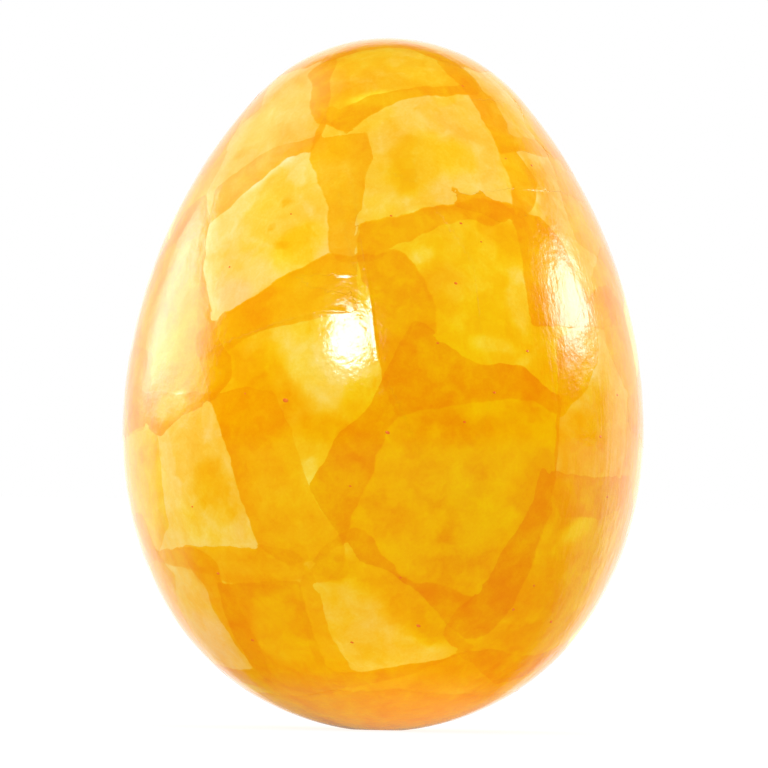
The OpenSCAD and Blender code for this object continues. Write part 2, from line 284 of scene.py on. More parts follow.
def profile():
    """Up the egg's side: rise and distance seen from the core, and tilt of the surface."""
    lower_centre = LOWER_SIDE_RADIUS - EGG_WIDTH / 2
    upper_centre = UPPER_SIDE_RADIUS - EGG_WIDTH / 2
    above = EGG_HEIGHT - BELLY_HEIGHT
    blunt = LOWER_SIDE_RADIUS**2 - lower_centre**2 - BELLY_HEIGHT**2
    blunt /= 2 * (LOWER_SIDE_RADIUS - BELLY_HEIGHT)
    tip = UPPER_SIDE_RADIUS**2 - upper_centre**2 - above**2
    tip /= 2 * (UPPER_SIDE_RADIUS - above)
    arcs = [
        (0.0, blunt, blunt, -math.pi / 2),
        (-lower_centre, BELLY_HEIGHT, LOWER_SIDE_RADIUS, math.atan2(blunt - BELLY_HEIGHT, lower_centre)),
        (-upper_centre, BELLY_HEIGHT, UPPER_SIDE_RADIUS, 0.0),
        (0.0, EGG_HEIGHT - tip, tip, math.atan2(above - tip, upper_centre)),
    ]
    ends = [arc[3] for arc in arcs[1:]] + [math.pi / 2]
    tilt, across, height = [], [], []
    for (x, z, radius, start), end in zip(arcs, ends):
        turn = np.linspace(start, end, ARC_STEPS, endpoint=end == math.pi / 2)
        tilt.append(turn)
        across.append(x + radius * np.cos(turn))
        height.append(z + radius * np.sin(turn) - BELLY_HEIGHT)
    tilt, across, height = (np.concatenate(part) for part in (tilt, across, height))
    return np.arctan2(height, across), np.hypot(across, height), tilt


PROFILE_RISE, PROFILE_REACH, PROFILE_TILT = profile()


def unit(vectors):
    return vectors / np.linalg.norm(vectors, axis=-1, keepdims=True)


def on_egg(directions):
    """Points on the covered egg in these directions from the core, and its outward normals there."""
    rise = np.arcsin(np.clip(directions[:, 2], -1, 1))
    reach = np.interp(rise, PROFILE_RISE, PROFILE_REACH)
    tilt = np.interp(rise, PROFILE_RISE, PROFILE_TILT)
    level = directions[:, :2] / np.maximum(np.hypot(*directions[:, :2].T), TINY)[:, None]
    normals = np.column_stack([level * np.cos(tilt)[:, None], np.sin(tilt)])
    return CORE + directions * reach[:, None], normals


def at(angle, height):
    """Direction from the core to a place on the egg: degrees from the front towards +X, and height."""
    heights = CORE[2] + PROFILE_REACH * np.sin(PROFILE_RISE)
    rise = np.interp(height, heights, PROFILE_RISE)
    turn = math.radians(angle)
    return np.array([math.cos(rise) * math.sin(turn), -math.cos(rise) * math.cos(turn), math.sin(rise)])


def smooth(values, low, high):
    """Soft step from 0 at low to 1 at high."""
    t = np.clip((values - low) / (high - low), 0, 1)
    return t * t * (3 - 2 * t)


def ripple(points, width, seed):
    """Smooth random field from -1 to 1 whose bumps are about this wide."""
    table = np.random.default_rng(seed).uniform(-1, 1, RIPPLE_VALUES)
    place = points / width
    cell = np.floor(place).astype(np.int64)
    part = smooth(place - cell, 0, 1)
    total = np.zeros(len(points))
    for corner in np.ndindex(2, 2, 2):
        key = np.bitwise_xor.reduce((cell + corner) * RIPPLE_MIX, axis=1)
        weight = np.where(corner, part, 1 - part).prod(1)
        total += weight * table[key % RIPPLE_VALUES]
    return total


def outer_loop(node):
    """Points in order round the outer face of a sheet's solid, in millimetres."""
    solid = bmesh.new()
    solid.from_mesh(frame["nodes"][node].data)
    bmesh.ops.remove_doubles(solid, verts=solid.verts, dist=WELD)
    faces = list(solid.faces)
    middles = np.array([face.calc_center_median() for face in faces]) / MM
    leans = np.array([face.normal for face in faces])
    outer = (leans * on_egg(unit(middles - CORE))[1]).sum(1) > OUTWARD
    for face, kept in zip(faces, outer):
        face.tag = bool(kept)
    beside = {}
    for edge in solid.edges:
        if sum(face.tag for face in edge.link_faces) == 1:
            first, second = edge.verts
            beside.setdefault(first, []).append(second)
            beside.setdefault(second, []).append(first)
    loop = []
    before = None
    start = here = next(iter(beside))
    while True:
        loop.append(np.array(here.co) / MM)
        onward = [corner for corner in beside[here] if corner is not before]
        before, here = here, onward[0]
        if here is start:
            break
    solid.free()
    return np.array(loop)


class Sheet:
    """One torn sheet: its layer, its dye, and a flat map of its outline, true to size from its middle."""

    def __init__(self, node, slot, seed):
        self.node = node
        self.slot = slot
        self.name = node.replace("tissue_", "")
        self.grains = []
        loop = outer_loop(node)
        points, normals = on_egg(unit(loop - CORE))
        depth = ((points - loop) * normals).sum(1).mean()
        self.layer = LAYERS - round(depth / PAPER)
        self.reach = np.linalg.norm(loop - CORE, axis=1).mean()
        self.out = unit(loop.mean(0) - CORE)
        side = np.array((1.0, 0.0, 0.0))
        if abs(self.out[2]) < UPRIGHT:
            side = np.cross((0, 0, 1), self.out)
        self.across = unit(side - side @ self.out * self.out)
        self.up = np.cross(self.out, self.across)
        self.rim = torn(self.flat(loop), seed)
        self.corner, self.field = edge_field(self.rim)

    def flat(self, points):
        """Places of points on the flat map."""
        way = unit(points - CORE)
        side = np.column_stack([way @ self.across, way @ self.up])
        turn = np.arccos(np.clip(way @ self.out, -1, 1))
        return side * (self.reach * turn / np.maximum(np.linalg.norm(side, axis=1), TINY))[:, None]

    def directions(self, flat):
        """Directions from the core to places on the flat map."""
        length = np.linalg.norm(flat, axis=1)
        turn = length / self.reach
        side = (flat / np.maximum(length, TINY)[:, None]) @ np.array([self.across, self.up])
        return self.out * np.cos(turn)[:, None] + side * np.sin(turn)[:, None]

    def dye(self, points):
        """Yellow and orange that the sheet holds at each point, with its stains, and less of both where a
        patch paints sheen.
        """
        plain = np.multiply(DYES[self.slot], UNEVEN.get(self.name, (1.0, 1.0)))
        amount = np.tile(plain, (len(points), 1))
        flat = self.flat(points)
        edge = sum(strength * ripple(points, width, seed) for strength, width, seed in STAIN_AND_SHEEN_WANDER)
        for angle, height, half_width, half_height, lean, yellow, orange in STAINS_AND_PAINTED_SHEEN.get(self.name, []):
            x, y = (flat - self.flat(on_egg(at(angle, height)[None])[0])).T
            c = math.cos(math.radians(lean))
            s = math.sin(math.radians(lean))
            away = np.hypot((x * c + y * s) / half_width, (y * c - x * s) / half_height)
            amount += np.outer(1 - smooth(away + edge, *STAIN_AND_SHEEN_FADE), (yellow, orange))
        return np.maximum(amount, LEAST_DYE)

    def inset(self, points):
        """How far inside the torn edge each point lies, negative outside it."""
        place = (self.flat(points) - self.corner) / FIELD_STEP
        most = np.array(self.field.shape) - 1
        away = ((place < 0) | (place > most)).any(1)
        place = np.clip(place, 0, most - TINY)
        i, j = place.astype(int).T
        u, v = (place - place.astype(int)).T
        field = self.field
        near = field[i, j] * (1 - u) + field[i + 1, j] * u
        far = field[i, j + 1] * (1 - u) + field[i + 1, j + 1] * u
        return np.where(away, -FIELD_MARGIN, near * (1 - v) + far * v)


def softened(loop):
    """Values round a closed loop, each drawn halfway to its two neighbours."""
    return (np.roll(loop, 1, 0) + 2 * loop + np.roll(loop, -1, 0)) / 4


def torn(loop, seed):
    """Even, softly rounded outline with the fine wander of a torn edge."""
    run = np.linalg.norm(np.roll(loop, -1, 0) - loop, axis=1)
    along = np.concatenate([[0], np.cumsum(run)])
    count = int(along[-1] / RIM_STEP)
    closed = np.vstack([loop, loop[:1]])
    marks = np.arange(count) * along[-1] / count
    rim = np.column_stack([np.interp(marks, along, closed[:, k]) for k in (0, 1)])
    for _ in range(RIM_SOFTENINGS):
        rim = softened(rim)
    wander = softened(np.random.default_rng(seed).normal(0, TEAR, count))
    ahead = unit(np.roll(rim, -1, 0) - np.roll(rim, 1, 0))
    return rim + np.column_stack([-ahead[:, 1], ahead[:, 0]]) * wander[:, None]


def edge_field(rim):
    """First corner of a grid over an outline, and distances from the outline there, positive inside it."""
    corner = rim.min(0) - FIELD_MARGIN
    steps = np.ceil((rim.max(0) + FIELD_MARGIN - corner) / FIELD_STEP).astype(int) + 1
    a = rim
    b = np.roll(rim, -1, 0)
    run = b - a
    length = (run**2).sum(1)
    slope = np.where(run[:, 0] == 0, TINY, run[:, 0])
    field = np.empty(steps)
    rows = corner[1] + np.arange(steps[1]) * FIELD_STEP
    gap_y = rows[:, None] - a[:, 1]
    for i in range(steps[0]):
        x = corner[0] + i * FIELD_STEP
        gap_x = x - a[:, 0]
        share = np.clip((gap_x * run[:, 0] + gap_y * run[:, 1]) / length, 0, 1)
        far = (gap_x - share * run[:, 0]) ** 2 + (gap_y - share * run[:, 1]) ** 2
        crossing = (a[:, 0] > x) != (b[:, 0] > x)
        over = crossing & (a[:, 1] + gap_x * run[:, 1] / slope > rows[:, None])
        sign = np.where(over.sum(1) % 2, 1, -1)
        field[i] = np.sqrt(far.min(1)) * sign
    return corner, field


def only(piece):
    """Selects one piece and makes it active."""
    bpy.ops.object.select_all(action="DESELECT")
    piece.select_set(True)
    bpy.context.view_layer.objects.active = piece


def thicken(depth):
    """Makes the flat face being edited into a solid this deep."""
    bpy.ops.mesh.extrude_region_move(TRANSFORM_OT_translate={"value": (0, 0, depth)})
    bpy.ops.mesh.select_all(action="SELECT")
    bpy.ops.mesh.normals_make_consistent(inside=False)
    bpy.ops.object.mode_set(mode="OBJECT")


def slab(sheet):
    """Flat slab of small squares that covers a sheet's outline."""
    low = sheet.rim.min(0) - CELL
    high = sheet.rim.max(0) + CELL
    across, up = np.ceil((high - low) / CELL).astype(int)
    bpy.ops.object.select_all(action="DESELECT")
    bpy.ops.mesh.primitive_grid_add(x_subdivisions=int(across), y_subdivisions=int(up), size=1)
    piece = bpy.context.object
    bpy.ops.object.mode_set(mode="EDIT")
    bpy.ops.mesh.select_all(action="SELECT")
    bpy.ops.transform.resize(value=(high[0] - low[0], high[1] - low[1], 1))
    bpy.ops.transform.translate(value=(*(low + high) / 2, 0))
    thicken(SLAB_DEPTH)
    return piece


def cutter(sheet):
    """Prism of a sheet's outline, taller than the slab it cuts."""
    bpy.ops.object.select_all(action="DESELECT")
    bpy.ops.mesh.primitive_circle_add(vertices=len(sheet.rim), fill_type="NGON")
    prism = bpy.context.object
    move(prism.data, np.column_stack([sheet.rim, np.full(len(sheet.rim), CUTTER_FOOT)]))
    bpy.ops.object.mode_set(mode="EDIT")
    bpy.ops.mesh.select_all(action="SELECT")
    thicken(CUTTER_HEIGHT)
    return prism


def cut(piece, prism):
    """Keeps the part of a slab inside a prism."""
    only(piece)
    tear = piece.modifiers.new("tear", "BOOLEAN")
    tear.operation = "INTERSECT"
    tear.solver = "MANIFOLD"
    tear.object = prism
    bpy.ops.object.modifier_apply(modifier=tear.name)
    bpy.data.objects.remove(prism)


def places(mesh):
    """Where a mesh's points are."""
    co = np.empty(len(mesh.vertices) * 3)
    mesh.vertices.foreach_get("co", co)
    return co.reshape(-1, 3)


def move(mesh, points):
    """Moves a mesh's points to new places."""
    mesh.vertices.foreach_set("co", points.ravel())
    mesh.update()


def keep(mesh, name, kind, field, values):
    """Stores a value for each point of a mesh under a name that the materials read."""
    attribute = mesh.attributes.new(name, kind, "POINT")
    attribute.data.foreach_set(field, np.asarray(values, np.float32).ravel())


def paper_under(points, sheets):
    """At each point, the inset and the dye of whichever of these sheets reaches over it furthest."""
    under = np.tile(NO_SHEET, (len(points), 1))
    for sheet in sheets:
        inset = sheet.inset(points)
        nearer = inset > under[:, 0]
        if nearer.any():
            under[nearer] = np.column_stack([inset[nearer], sheet.dye(points[nearer])])
    return under


def from_line(points, normals, line):
    """Distance of points from a line through places on the egg, negative on its left."""
    corners = on_egg(np.array([at(*place) for place in line]))[0]
    nearest = np.full(len(points), FAR_OFF)
    for a, b in zip(corners[:-1], corners[1:]):
        run = b - a
        gap = points - a - np.clip((points - a) @ run / (run @ run), 0, 1)[:, None] * run
        side = np.where((np.cross(run, gap) * normals).sum(1) > 0, -1, 1)
        far = np.linalg.norm(gap, axis=1) * side
        nearest = np.where(np.abs(far) < np.abs(nearest), far, nearest)
    return nearest


def lay(piece, sheet, sheets):
    """Drapes a flat slab over the egg and the sheets below it, and stores how those lie under it."""
    mesh = piece.data
    slab_places = places(mesh)
    points, normals = on_egg(sheet.directions(slab_places[:, :2]))
    below = np.zeros(len(points))
    fillet = np.zeros(len(points))
    for layer in range(1, LAYERS):
        is_below = layer < sheet.layer
        under = paper_under(points, [other for other in sheets if is_below and other.layer == layer])
        if is_below:
            step = smooth(under[:, 0], -STEP_WIDTH, 0)
            below += PAPER * step
            fillet += PAPER * (smooth(under[:, 0], -DRAPE, 0) - step)
        keep(mesh, f"under_{layer}", "FLOAT_VECTOR", "vector", under)
    inset = sheet.inset(points)
    own = np.column_stack([inset, sheet.dye(points) / DYES[sheet.slot]])
    keep(mesh, "own", "FLOAT_VECTOR", "vector", own)
    keep(mesh, "layer", "FLOAT", "value", np.full(len(points), float(sheet.layer)))
    taper = smooth(inset, 0, FEATHER)
    thickness = PAPER * (THIN_EDGE + (1 - THIN_EDGE) * taper) + fillet * taper
    bottom = slab_places[:, 2] < SLAB_DEPTH / 2
    height = LEVELLED * (below + thickness) + LIFT - DEEP * bottom
    for number, (width, rise) in enumerate(WRINKLES):
        height += rise * (ripple(points, width, number) + 1) / 2
    fold = np.full(len(points), FAR_OFF)
    for line in CREASES:
        off = from_line(points, normals, line)
        fold = np.where(np.abs(off) < np.abs(fold), off, fold)
    height += SWELLING_HEIGHT * np.exp(-((fold / SWELLING_WIDTH) ** 2))
    keep(mesh, "fold", "FLOAT", "value", fold)
    move(mesh, (points + normals * height[:, None]) * MM)


def add_grain(piece, point, normal, size, finish):
    """Sets a flat grain of dye in a sheet's top face."""
    paper = places(piece.data) / MM
    beside = np.argsort(((paper - point) ** 2).sum(1))[:GRAIN_NEIGHBOURS]
    point = point + normal * (((paper[beside] - point) @ normal).max())
    bpy.ops.object.select_all(action="DESELECT")
    bpy.ops.mesh.primitive_ico_sphere_add(subdivisions=2, radius=size)
    grain = bpy.context.object
    across = unit(np.cross(normal, GRAIN_LIE))
    shape = np.array([across, GRAIN_WIDTH * np.cross(normal, across), GRAIN_THICKNESS * normal])
    move(grain.data, (point + places(grain.data) @ shape) * MM)
    grain.data.materials.append(finish)
    for face in grain.data.polygons:
        face.use_smooth = True
    only(piece)
    grain.select_set(True)
    bpy.ops.object.join()


def tissue(sheet, sheets, finish, grain):
    """Makes the finished sheet of tissue in the place of its solid."""
    piece = slab(sheet)
    piece.name = sheet.name + "_sheet"
    cut(piece, cutter(sheet))
    lay(piece, sheet, sheets)
    only(piece)
    bpy.ops.object.shade_smooth_by_angle(angle=SMOOTH_ANGLE)
    piece.data.materials.clear()
    piece.data.materials.append(finish)
    for angle, height, size in sheet.grains:
        point, normal = (part[0] for part in on_egg(at(angle, height)[None]))
        add_grain(piece, point, normal, size, grain)
    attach(piece, "root")
    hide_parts(sheet.node)


def add(tree, kind, inputs=(), **settings):
    """New node with its settings, and with its inputs set or linked."""
    made = tree.nodes.new(kind)
    for name, value in settings.items():
        setattr(made, name, value)
    for socket, value in dict(inputs).items():
        if isinstance(value, bpy.types.NodeSocket):
            tree.links.new(value, made.inputs[socket])
        else:
            made.inputs[socket].default_value = value
    return made


def maths(tree, operation, *values):
    """Result of a maths node."""
    return add(tree, "ShaderNodeMath", enumerate(values), operation=operation).outputs[0]


def vector_maths(tree, operation, *values):
    """Results of a vector maths node."""
    return add(tree, "ShaderNodeVectorMath", enumerate(values), operation=operation).outputs


def parts_of(tree, vector):
    """X, Y and Z of a vector."""
    return add(tree, "ShaderNodeSeparateXYZ", {0: vector}).outputs


def stored(tree, name):
    """Value that keep() stored for each point."""
    return add(tree, "ShaderNodeAttribute", attribute_name=name).outputs


def ramp(tree, value, low, high, first=0.0, last=1.0):
    """Soft step of a value, from first at low to last at high."""
    inputs = {"Value": value, "From Min": low, "From Max": high, "To Min": first, "To Max": last}
    return add(tree, "ShaderNodeMapRange", inputs, interpolation_type="SMOOTHSTEP").outputs[0]


def blend(tree, share, first, last):
    """Colour between two others. A mix node has them at 6 and 7, and the blended one at 2."""
    inputs = {"Factor": share, 6: (*first, 1), 7: (*last, 1)}
    return add(tree, "ShaderNodeMix", inputs, data_type="RGBA").outputs[2]


def noise_at(tree, place, scale, detail=2.0, shift=None):
    """Noise from 0 to 1 at places in millimetres, with its own pattern for each shift."""
    inputs = {"Vector": place, "Scale": scale, "Detail": detail, "Roughness": NOISE_ROUGHNESS}
    dimensions = "3D"
    if shift is not None:
        inputs["W"] = shift
        dimensions = "4D"
    return add(tree, "ShaderNodeTexNoise", inputs, noise_dimensions=dimensions).outputs[0]


def group(name, inputs, outputs):
    """New node group with its named sockets, and the sockets inside it."""
    tree = bpy.data.node_groups.new(name, "ShaderNodeTree")
    kinds = {"VECTOR": "NodeSocketVector", "VALUE": "NodeSocketFloat", "COLOUR": "NodeSocketColor"}
    for label, kind in inputs.items():
        tree.interface.new_socket(label, in_out="INPUT", socket_type=kinds[kind])
    for label, kind in outputs.items():
        tree.interface.new_socket(label, in_out="OUTPUT", socket_type=kinds[kind])
    return tree, tree.nodes.new("NodeGroupInput").outputs, tree.nodes.new("NodeGroupOutput").inputs


# Noise, with its scales per millimetre, and how it makes wet dye drift
NOISE_ROUGHNESS = 0.55
NOISE_MIDDLE = 0.5
DRIFT_SCALE = 0.4
DRIFT_REACH = 3.0

# The dye in one sheet: its ragged edge, its pools, clouds and fibres, and how far each layer shifts those
RAGGED_SCALE = 1.2
RAGGED_REACH = 0.4
EDGE_FADE = (-0.08, 0.1)
LAYER_SHIFT = 7.3
POOL_SCALE = 0.17
POOL_EDGE = (0.46, 0.62)
POOL_AREA = 0.4
CLOUD_SCALE = 0.6
FIBRE_SCALE = 3.2
# How much the pools, the clouds and the fibres change each dye
CHANGES = {"Yellow": (0.5, 0.6, 0.2), "Orange": (0.25, 0.5, 0.2)}


def drifted(tree, place):
    """Places pushed about as wet dye is, so that what is drawn there runs."""
    flow = add(tree, "ShaderNodeTexNoise", {"Vector": place, "Scale": DRIFT_SCALE, "Detail": 2.0})
    return vector_maths(tree, "MULTIPLY_ADD", flow.outputs["Color"], (DRIFT_REACH,) * 3, place)[0]


def layer_group():
    """How much yellow and orange one sheet puts over a place, cloudy inside and ragged along its edge."""
    tree, given, result = group(
        "tissue_layer",
        {"Place": "VECTOR", "Layer": "VALUE", "Inset": "VALUE", "Yellow": "VALUE", "Orange": "VALUE"},
        {"Yellow": "VALUE", "Orange": "VALUE", "Cover": "VALUE"})
    ragged = noise_at(tree, given["Place"], RAGGED_SCALE, detail=4.0)
    ragged = maths(tree, "SUBTRACT", ragged, NOISE_MIDDLE)
    inset = maths(tree, "MULTIPLY_ADD", ragged, RAGGED_REACH, given["Inset"])
    cover = ramp(tree, inset, *EDGE_FADE)
    shift = maths(tree, "MULTIPLY", given["Layer"], LAYER_SHIFT)
    drift = drifted(tree, given["Place"])
    pool = ramp(tree, noise_at(tree, drift, POOL_SCALE, detail=3.0, shift=shift), *POOL_EDGE)
    cloud = noise_at(tree, drift, CLOUD_SCALE, detail=3.0, shift=shift)
    fibre = noise_at(tree, given["Place"], FIBRE_SCALE, shift=shift)
    for name, (pooled, clouded, fibrous) in CHANGES.items():
        even = 1 - POOL_AREA * pooled - (clouded + fibrous) / 2
        tone = maths(tree, "MULTIPLY_ADD", pool, pooled, even)
        tone = maths(tree, "MULTIPLY_ADD", cloud, clouded, tone)
        tone = maths(tree, "MULTIPLY_ADD", fibre, fibrous, tone)
        dyed = maths(tree, "MULTIPLY", given[name], maths(tree, "MULTIPLY", cover, tone))
        tree.links.new(dyed, result[name])
    tree.links.new(cover, result["Cover"])
    return tree


# The shell's white, and how much of its red, green and blue one part of each dye takes, as logarithms
SHELL_WHITE = (0.97, 0.945, 0.9)
YELLOW_TAKES = (-0.014, -0.03, -2.5)
ORANGE_TAKES = (-0.022, -0.44, -0.5)
# The most of each dye that can show, and how sharply more of it stops showing
MOST_YELLOW = 5.0
MOST_ORANGE = 1.78
ORANGE_WITH_YELLOW = 0.06
SATURATION = 4.0
# The mottling of all the layers together, and the pools of orange
MOTTLE_SCALE = 0.65
MOTTLE = 0.65
SPECK_SCALE = 5.0
SPECK = 0.3
ORANGE_POOL_SCALE = 0.14
ORANGE_POOL = 0.9


def stain_group():
    """Colour of the white shell seen through the dye over it.

    Each further layer of dye shows less than the one before."""
    tree, given, result = group(
        "stained_shell", {"Place": "VECTOR", "Yellow": "VALUE", "Orange": "VALUE"}, {"Colour": "COLOUR"})
    drift = drifted(tree, given["Place"])
    cloud = noise_at(tree, drift, MOTTLE_SCALE, detail=4.0)
    speck = noise_at(tree, given["Place"], SPECK_SCALE)
    mottle = maths(tree, "MULTIPLY_ADD", cloud, MOTTLE, 1 - MOTTLE / 2 - SPECK / 2)
    mottle = maths(tree, "MULTIPLY_ADD", speck, SPECK, mottle)
    pool = noise_at(tree, drift, ORANGE_POOL_SCALE)
    pool = maths(tree, "MULTIPLY_ADD", pool, ORANGE_POOL, -ORANGE_POOL / 2)
    most_orange = maths(tree, "MULTIPLY_ADD", given["Yellow"], ORANGE_WITH_YELLOW, MOST_ORANGE)
    clouds = {"Yellow": mottle, "Orange": maths(tree, "ADD", mottle, pool)}
    dye = {}
    for name, most in (("Yellow", MOST_YELLOW), ("Orange", most_orange)):
        share = maths(tree, "POWER", maths(tree, "DIVIDE", given[name], most), SATURATION)
        hidden = maths(tree, "POWER", maths(tree, "ADD", share, 1.0), -1 / SATURATION)
        shown = maths(tree, "MULTIPLY", given[name], hidden)
        dye[name] = maths(tree, "MULTIPLY", shown, clouds[name])
    channels = []
    for white, yellow, orange in zip(SHELL_WHITE, YELLOW_TAKES, ORANGE_TAKES):
        taken = maths(tree, "MULTIPLY", dye["Yellow"], yellow)
        taken = maths(tree, "MULTIPLY_ADD", dye["Orange"], orange, taken)
        channels.append(maths(tree, "MULTIPLY", maths(tree, "EXPONENT", taken), white))
    colour = add(tree, "ShaderNodeCombineColor", enumerate(channels))
    tree.links.new(colour.outputs[0], result["Colour"])
    return tree


# The brushed varnish: scale and height of its crinkles, its grain and the strokes of the brush
CRINKLE_SCALE = 0.9
CRINKLE_HEIGHT = 0.035
FINE_SCALE = 2.6
FINE_HEIGHT = 0.012
STROKE_SCALE = 1.8
STROKE_STRETCH = (1.0, 1.0, 0.06)
# The strokes stand higher on the right: from where to where, and from what height to what height
STROKE_HEIGHT = (6.0, 15.0, 0.005, 0.03)
# Its roughness: scale of the patches, the least, and how much more a patch has
PATCH_SCALE = 0.25
LEAST_ROUGH = 0.05
PATCH_ROUGH = 0.06
# Height that each sheet below adds to the varnish
SHEET_STEP = 0.004


def varnish_group():
    """Height in millimetres and roughness of the brushed varnish."""
    tree, given, result = group(
        "brushed_varnish", {"Place": "VECTOR"}, {"Height": "VALUE", "Roughness": "VALUE"})
    place = given["Place"]
    crinkle = noise_at(tree, place, CRINKLE_SCALE, detail=3.0)
    fine = noise_at(tree, place, FINE_SCALE)
    stroke = noise_at(tree, vector_maths(tree, "MULTIPLY", place, STROKE_STRETCH)[0], STROKE_SCALE)
    brushed = ramp(tree, parts_of(tree, place)["X"], *STROKE_HEIGHT)
    height = maths(tree, "MULTIPLY", crinkle, CRINKLE_HEIGHT)
    height = maths(tree, "MULTIPLY_ADD", fine, FINE_HEIGHT, height)
    height = maths(tree, "MULTIPLY_ADD", stroke, brushed, height)
    patch = noise_at(tree, place, PATCH_SCALE)
    tree.links.new(height, result["Height"])
    tree.links.new(maths(tree, "MULTIPLY_ADD", patch, PATCH_ROUGH, LEAST_ROUGH), result["Roughness"])
    return tree


def place_in_mm(tree):
    """Object coordinates in millimetres."""
    place = add(tree, "ShaderNodeTexCoord").outputs["Object"]
    return add(tree, "ShaderNodeVectorMath", {0: place, "Scale": 1 / MM}, operation="SCALE").outputs[0]


def new_material(name):
    finish = bpy.data.materials.new(name)
    finish.use_nodes = True
    tree = finish.node_tree
    return finish, tree, tree.nodes["Principled BSDF"]


def tissue_finish(slot, layer, stain, varnish):
    """Varnished tissue of one dye, with the layers below showing through."""
    finish, tree, shader = new_material("varnished_" + slot)
    place = place_in_mm(tree)

    inset, *shares = parts_of(tree, stored(tree, "own")["Vector"])
    yellow, orange = (maths(tree, "MULTIPLY", share, amount) for share, amount in zip(shares, DYES[slot]))
    level = stored(tree, "layer")["Fac"]
    own = add(tree, "ShaderNodeGroup", node_tree=layer)
    given = {"Place": place, "Layer": level, "Inset": inset, "Yellow": yellow, "Orange": orange}
    for label, value in given.items():
        tree.links.new(value, own.inputs[label])
    totals = {"Yellow": own.outputs["Yellow"], "Orange": own.outputs["Orange"]}
    covers = []
    for number in range(1, LAYERS):
        below = add(tree, "ShaderNodeGroup", node_tree=layer)
        below.inputs["Layer"].default_value = number
        tree.links.new(place, below.inputs["Place"])
        under = parts_of(tree, stored(tree, f"under_{number}")["Vector"])
        for label, value in zip(("Inset", "Yellow", "Orange"), under):
            tree.links.new(value, below.inputs[label])
        for name in totals:
            totals[name] = maths(tree, "ADD", totals[name], below.outputs[name])
        covers.append(below.outputs["Cover"])

    coloured = add(tree, "ShaderNodeGroup", node_tree=stain)
    tree.links.new(place, coloured.inputs["Place"])
    for name, total in totals.items():
        tree.links.new(total, coloured.inputs[name])
    tree.links.new(coloured.outputs["Colour"], shader.inputs["Base Color"])

    gloss = add(tree, "ShaderNodeGroup", node_tree=varnish)
    tree.links.new(place, gloss.inputs["Place"])
    tree.links.new(gloss.outputs["Roughness"], shader.inputs["Roughness"])
    off = maths(tree, "ABSOLUTE", stored(tree, "fold")["Fac"])
    ridge = ramp(tree, off, 0.0, RIDGE_WIDTH, RIDGE_HEIGHT, 0.0)
    height = maths(tree, "ADD", ridge, gloss.outputs["Height"])
    for cover in covers:
        height = maths(tree, "MULTIPLY_ADD", cover, SHEET_STEP, height)
    bump = add(tree, "ShaderNodeBump", {"Height": height, "Distance": MM, "Strength": 1.0})
    tree.links.new(bump.outputs[0], shader.inputs["Normal"])
    return finish


# Grains of dye: their two colours, the scale of the patches, and how rough they are
GRAIN_RED = (0.8, 0.06, 0.01)
GRAIN_ORANGE = (0.95, 0.3, 0.02)
GRAIN_PATCH_SCALE = 3.0
GRAIN_ROUGH = 0.2

# The bare shell and its lining: colour and roughness, with darker patches and fine pores
BARE = {"eggshell": (SHELL_WHITE, 0.6), "shell_membrane": ((0.96, 0.94, 0.89), 0.75)}
BARE_PATCH_SCALE = 0.3
BARE_PATCH_SHADE = 0.93
PORE_SCALE = 4.0
PORE_DEPTH = 0.02


def grain_finish():
    """Undissolved dye, red that turns to orange in patches."""
    finish, tree, shader = new_material("dye_grain")
    cloud = noise_at(tree, place_in_mm(tree), GRAIN_PATCH_SCALE)
    tree.links.new(blend(tree, cloud, GRAIN_RED, GRAIN_ORANGE), shader.inputs["Base Color"])
    shader.inputs["Roughness"].default_value = GRAIN_ROUGH
    return finish


def shell_finish(name, colour, rough):
    """Chalky white of the shell or its lining, with fine pores."""
    finish, tree, shader = new_material(name)
    place = place_in_mm(tree)
    cloud = noise_at(tree, place, BARE_PATCH_SCALE, detail=3.0)
    dark = [BARE_PATCH_SHADE * part for part in colour]
    tree.links.new(blend(tree, cloud, dark, colour), shader.inputs["Base Color"])
    shader.inputs["Roughness"].default_value = rough
    pores = noise_at(tree, place, PORE_SCALE)
    bump = add(tree, "ShaderNodeBump", {"Height": pores, "Distance": PORE_DEPTH * MM})
    tree.links.new(bump.outputs[0], shader.inputs["Normal"])
    return finish


def cover_egg():
    """Dresses the shell, and lays every sheet of tissue over it."""
    slots = {part["node"]: part["material_slot"] for part in frame["record"]["subparts"]}
    for node, (colour, rough) in BARE.items():
        data = frame["nodes"][node].data
        data.materials.clear()
        data.materials.append(shell_finish("bare_" + slots[node], colour, rough))
    names = sorted(node for node in slots if node.startswith("tissue_"))
    sheets = [Sheet(node, slots[node], seed) for seed, node in enumerate(names)]
    groups = layer_group(), stain_group(), varnish_group()
    finishes = {slot: tissue_finish(slot, *groups) for slot in DYES}
    grain = grain_finish()
    for place in GRAINS:
        point = on_egg(at(*place[:2])[None])[0]
        over = [sheet for sheet in sheets if sheet.inset(point)[0] > 0]
        max(over, key=lambda sheet: sheet.layer).grains.append(place)
    for sheet in sheets:
        tissue(sheet, sheets, finishes[sheet.slot], grain)


# The picture: how far the camera stands, what its frame takes in, and how the egg leans in it
CAMERA_AWAY = 2150.0
FRAME_WIDTH = 64.46
FRAME_MIDDLE = 29.03
LEAN = math.radians(1.15)
SENSOR = 36.0
SIGHT = 20000.0

# Lamps: how far they stand from the egg, and where the bright middle of their face fades
LAMP_AWAY = 600.0
CORE_FADE = (0.18, 0.34)
HALF_FACE = 0.5

